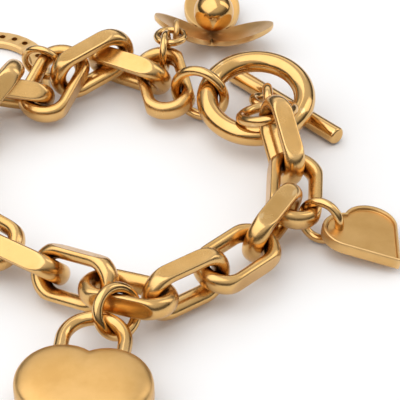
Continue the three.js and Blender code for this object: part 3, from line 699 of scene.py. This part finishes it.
class BraceletColours(bpy.types.PropertyGroup):
    gold: metal_colour("Gold", "Colour of the clean plate", (0.72, 0.44, 0.165))
    deep: metal_colour("Tarnish", "Colour of the tarnished plate", (0.64, 0.37, 0.12))
    worn: metal_colour("Worn edge", "Colour of rubbed edges", (0.82, 0.56, 0.27))
    # Painted shade: the dark brown that ambient occlusion blends into the plate's creases and
    # recesses.
    crease_shade: metal_colour("Grime", "Colour of the plate in deep creases", (0.16, 0.065, 0.015))
    polished_gold: shine("Polish", "Roughness of the clasp and rings", 0.15)
    link_gold: shine("Link polish", "Roughness of the links", 0.24)
    satin_gold: shine("Satin", "Roughness of the flat charms", 0.38)


class BraceletStage(bpy.types.PropertyGroup):
    floor: metal_colour("Floor", "Colour of the floor", (0.92, 0.925, 0.94))
    elevation: FloatProperty(
        name="Elevation",
        description="The camera's angle above the floor",
        subtype="ANGLE",
        default=math.radians(39),
    )
    distance: FloatProperty(
        name="Distance",
        description="From the camera to the middle of the picture",
        subtype="DISTANCE",
        unit="LENGTH",
        default=0.4,
    )
    lens: millimetres("Lens", "Focal length", 216.0, 50, 400)
    light: FloatProperty(
        name="Light", description="Strength of the softboxes", default=0.42, min=0.1, max=4.0
    )


# Pieces


class BRACELET_OT_links(bpy.types.Operator):
    """Build the main links"""

    bl_idname = "bracelet.links"
    bl_label = "Links"

    def execute(self, context):
        for node in LINKS:
            lie = lie_of(node)
            mesh = filed_link(node, lie, context.scene.bracelet_sizes)
            place(node, mesh, lie.matrix(), "link_gold")
        return {"FINISHED"}


class BRACELET_OT_rings(bpy.types.Operator):
    """Build the jump rings"""

    bl_idname = "bracelet.rings"
    bl_label = "Jump rings"

    def execute(self, context):
        for node in CLASP_RINGS + THIN_RINGS:
            lie = lie_of(node)
            across = max(lie.size(lie.along), lie.size(lie.across))
            wire = round_wire(lie.size(lie.normal), SOLID_RING_SIDES)
            mesh = hoop(node, across, wire, RING_BEND, RING_SIDES)
            place(node, mesh, lie.matrix(), "polished_gold")
        return {"FINISHED"}


class BRACELET_OT_toggle(bpy.types.Operator):
    """Build the toggle ring and its bar"""

    bl_idname = "bracelet.toggle"
    bl_label = "Toggle clasp"

    def execute(self, context):
        self.ring()
        self.bar(context.scene.bracelet_sizes)
        return {"FINISHED"}

    def ring(self):
        ring = lie_of("toggle_ring")
        across = max(ring.size(ring.along), ring.size(ring.across))
        wire = round_wire(ring.size(ring.normal), SOLID_TOGGLE_SIDES)
        mesh = hoop("toggle_ring", across, wire, TOGGLE_BEND, TOGGLE_SIDES)
        place("toggle_ring", mesh, ring.matrix(), "polished_gold")

    def bar(self, sizes):
        """A straight rod, with a wire eye that stands on its middle."""
        bar = lie_of("toggle_bar")
        ends = bar.spread(bar.along)
        sides = bar.spread(bar.across)
        thick = bar.size(bar.normal)
        profile = rod_profile((ends[1] - ends[0]) / 2, thick, sizes.bar_edge * MM)
        rod = lathe("toggle_bar", profile, ROD_SIDES)
        wire = sizes.eye_wire * MM
        eye_high = sides[1] - sides[0] - thick + wire
        stations = oval_stations(sizes.eye_long * MM, eye_high, wire, EYE_BEND, EYE_STRAIGHT)
        eye = tube("toggle_eye", stations, round_section(wire, wire, RING_SIDES), True)
        eye_side = 1 if sides[1] > -sides[0] else -1
        eye.transform(Matrix.Translation((0, eye_side * (eye_high / 2 + thick / 2 - wire), 0)))
        rod_at = sides[0] + thick / 2 if eye_side > 0 else sides[1] - thick / 2
        centre = Vector((sum(ends) / 2, rod_at, sum(bar.spread(bar.normal)) / 2))
        where = bar.matrix() @ Matrix.Translation(centre)
        place("toggle_bar", joined_mesh("toggle_bar", [rod, eye]), where, "polished_gold")


class BRACELET_OT_padlock(bpy.types.Operator):
    """Build the padlock charm"""

    bl_idname = "bracelet.padlock"
    bl_label = "Padlock charm"

    def execute(self, context):
        sizes = context.scene.bracelet_sizes
        body = heart_lie("padlock_body")
        outline = heart_outline(body.size(body.across), body.size(body.along), sizes.padlock_lobe)
        layers = puffed_layers(body.size(body.normal), sizes.padlock_puff)
        heart = layered("padlock_body", outline, layers)

        shackle = lie_of("padlock_shackle")
        wire = round_wire(shackle.size(body.normal), SOLID_SHACKLE_SIDES)
        reach = (shackle.points - body.middle) @ body.along
        radius = (shackle.size(body.across) - wire) / 2
        bow_at = reach.min() + wire / 2 + radius
        arms = reach.max() - bow_at
        level = float(np.mean((shackle.points - body.middle) @ body.normal))
        at = Matrix.Translation((bow_at, 0, level))

        gap = sizes.socket_gap * MM
        bore = round_section(wire + 2 * gap, wire + 2 * gap, BOW_SIDES)
        sockets = tube("sockets", u_stations(radius, arms + gap, BOW_BEND), bore, False)
        sockets.transform(at)
        drilled = joined_mesh("padlock_body", [heart, sockets], "DIFFERENCE")
        place("padlock_body", drilled, body.matrix(), "satin_gold", sharp=50)

        section = round_section(wire, wire, BOW_SIDES)
        bow = tube("padlock_shackle", u_stations(radius, arms, BOW_BEND), section, False)
        bow.transform(at)
        place("padlock_shackle", bow, body.matrix(), "polished_gold")
        return {"FINISHED"}


class BRACELET_OT_tag(bpy.types.Operator):
    """Build the heart tag"""

    bl_idname = "bracelet.tag"
    bl_label = "Heart tag"

    def execute(self, context):
        sizes = context.scene.bracelet_sizes
        tag = heart_lie("heart_tag")
        thick = tag.size(tag.normal)
        outline = heart_outline(tag.size(tag.across), tag.size(tag.along), sizes.tag_lobe)
        plate = layered("heart_tag", outline, [(out, up * thick) for out, up in TAG_LAYERS])
        radius = sizes.tag_hole / 2 * MM
        hole = lathe("tag_hole", [(-3 * thick, radius), (3 * thick, radius)], HOLE_SIDES)
        hole.transform(Matrix.Rotation(math.radians(90), 4, "Y"))
        hole.transform(Matrix.Translation((TAG_HOLE_ALONG * MM, TAG_HOLE_ACROSS * MM, 0)))
        drilled = joined_mesh("heart_tag", [plate, hole], "DIFFERENCE")
        place("heart_tag", drilled, tag.matrix(), "satin_gold", sharp=28)
        return {"FINISHED"}


class BRACELET_OT_flower(bpy.types.Operator):
    """Build the flower charm and its mirror ball"""

    bl_idname = "bracelet.flower"
    bl_label = "Flower charm"

    def execute(self, context):
        sizes = context.scene.bracelet_sizes
        ball = lie_of("flower_ball")
        radius = ball.size(ball.along) / 2
        where = flower_placing(lie_of("flower_petals"), ball, radius, sizes)
        pieces = [petal(FIRST_PETAL + 360 / PETALS * turn, sizes) for turn in range(PETALS)]
        hub_radius = sizes.hub_across / 2 * MM
        core = [(0, hub_radius), (sizes.petal_thick * MM, hub_radius)]
        hub = lathe("flower_hub", core, ROD_SIDES)
        hub.transform(Matrix.Rotation(math.radians(-90), 4, "Y"))
        whole = joined_mesh("flower_petals", [*pieces, hub, flower_loop(sizes)])
        place("flower_petals", whole, where, "satin_gold", sharp=35)
        at = Matrix.Translation(Vector(ball.middle))
        place("flower_ball", round_ball(radius), at, "polished_gold", sharp=180)
        return {"FINISHED"}


class BRACELET_OT_horseshoe(bpy.types.Operator):
    """Dress the horseshoe charm"""

    bl_idname = "bracelet.horseshoe"
    bl_label = "Horseshoe charm"

    def execute(self, context):
        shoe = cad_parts["horseshoe_charm"]
        worn = shoe.modifiers.new("worn_edges", "BEVEL")
        worn.width = context.scene.bracelet_sizes.worn_edge * MM
        worn.segments = 3
        worn.limit_method = "ANGLE"
        worn.angle_limit = math.radians(35)
        smooth = shoe.modifiers.new("smooth", "WEIGHTED_NORMAL")
        smooth.keep_sharp = True
        shoe.data.materials.clear()
        shoe.data.materials.append(gold("satin_gold"))
        return {"FINISHED"}


class BRACELET_OT_stage(bpy.types.Operator):
    """Set the floor, the lights and the camera"""

    bl_idname = "bracelet.stage"
    bl_label = "Stage"

    def execute(self, context):
        stage = context.scene.bracelet_stage
        context.scene.view_settings.view_transform = "Standard"
        self.floor(context, stage)
        self.world(context)
        target = Vector(lie_of("toggle_ring").middle) - Vector(TOGGLE_FROM_MIDDLE) * MM
        self.camera(context, stage, target)
        for box in SOFTBOXES:
            self.softbox(context, target, box, stage.light)
        return {"FINISHED"}

    def floor(self, context, stage):
        half = FLOOR_HALF
        corners = [(-half, -half, 0), (half, -half, 0), (half, half, 0), (-half, half, 0)]
        mesh = mesh_of("floor", corners, [(0, 1, 2, 3)])
        ground = bpy.data.objects.new("floor", mesh)
        ground.location.z = -FLOOR_DROP * MM
        context.scene.collection.objects.link(ground)
        material = bpy.data.materials.new("floor")
        wiring = Wiring(material)
        noise = wiring.add("ShaderNodeTexNoise", Scale=30.0, Detail=2.0)
        shaded = [value * FLOOR_SHADE for value in stage.floor]
        tint = wiring.ramp(noise.outputs["Fac"], (0.3, (*shaded, 1)), (0.7, (*stage.floor, 1)))
        wiring.wire(tint, wiring.shader.inputs["Base Color"])
        wiring.shader.inputs["Roughness"].default_value = 0.9
        mesh.materials.append(material)

    def world(self, context):
        """Pale studio walls that darken toward the floor, so that the wires have dark borders."""
        world = bpy.data.worlds.new("studio")
        context.scene.world = world
        world.use_nodes = True
        tree = world.node_tree
        background = tree.nodes["Background"]
        way = tree.nodes.new("ShaderNodeTexCoord")
        parts = tree.nodes.new("ShaderNodeSeparateXYZ")
        ramp = tree.nodes.new("ShaderNodeValToRGB")
        tree.links.new(way.outputs["Generated"], parts.inputs["Vector"])
        tree.links.new(parts.outputs["Z"], ramp.inputs["Fac"])
        stops = ramp.color_ramp.elements
        stops[0].position, stops[0].color = SKY_LOW
        stops[1].position, stops[1].color = SKY_TOP
        for position, colour in (SKY_HORIZON, SKY_WALL):
            stops.new(position).color = colour
        tree.links.new(ramp.outputs["Color"], background.inputs["Color"])
        background.inputs["Strength"].default_value = SKY_STRENGTH

    def softbox(self, context, target, box, strength):
        light = bpy.data.lights.new(box["name"], "AREA")
        light.shape = "RECTANGLE"
        light.size, light.size_y = box["size"]
        light.energy = box["power"] * strength
        light.color = box["colour"]
        made = bpy.data.objects.new(box["name"], light)
        made.location = target + Vector(box["spot"])
        made.rotation_euler = (target - made.location).to_track_quat("-Z", "Y").to_euler()
        context.scene.collection.objects.link(made)

    def camera(self, context, stage, target):
        lens = bpy.data.cameras.new("camera")
        lens.lens = stage.lens
        lens.sensor_width = 36
        lens.clip_start = 0.01
        made = bpy.data.objects.new("camera", lens)
        back = Vector((0, -math.cos(stage.elevation), math.sin(stage.elevation)))
        made.location = target + back * stage.distance
        made.rotation_euler = (-back).to_track_quat("-Z", "Y").to_euler()
        context.scene.collection.objects.link(made)
        context.scene.camera = made


PIECES = [
    BRACELET_OT_links,
    BRACELET_OT_rings,
    BRACELET_OT_toggle,
    BRACELET_OT_padlock,
    BRACELET_OT_tag,
    BRACELET_OT_flower,
    BRACELET_OT_horseshoe,
    BRACELET_OT_stage,
]


class BRACELET_PT_panel(bpy.types.Panel):
    """Lists the bracelet's pieces and settings"""

    bl_idname = "BRACELET_PT_panel"
    bl_label = "Charm Bracelet"
    bl_space_type = "VIEW_3D"
    bl_region_type = "UI"
    bl_category = "Bracelet"

    def draw(self, context):
        for piece in PIECES:
            self.layout.operator(piece.bl_idname)
        for group in ("bracelet_sizes", "bracelet_colours", "bracelet_stage"):
            settings = getattr(context.scene, group)
            for setting in settings.__annotations__:
                self.layout.prop(settings, setting)


CLASSES = [BraceletSizes, BraceletColours, BraceletStage, *PIECES, BRACELET_PT_panel]


def register():
    for made in CLASSES:
        bpy.utils.register_class(made)
    bpy.types.Scene.bracelet_sizes = PointerProperty(type=BraceletSizes)
    bpy.types.Scene.bracelet_colours = PointerProperty(type=BraceletColours)
    bpy.types.Scene.bracelet_stage = PointerProperty(type=BraceletStage)


def unregister():
    del bpy.types.Scene.bracelet_stage
    del bpy.types.Scene.bracelet_colours
    del bpy.types.Scene.bracelet_sizes
    for made in reversed(CLASSES):
        bpy.utils.unregister_class(made)


def main():
    register()
    bpy.ops.bracelet.links()
    bpy.ops.bracelet.rings()
    bpy.ops.bracelet.toggle()
    bpy.ops.bracelet.padlock()
    bpy.ops.bracelet.tag()
    bpy.ops.bracelet.flower()
    bpy.ops.bracelet.horseshoe()
    bpy.ops.bracelet.stage()


if __name__ == "__main__":
    main()
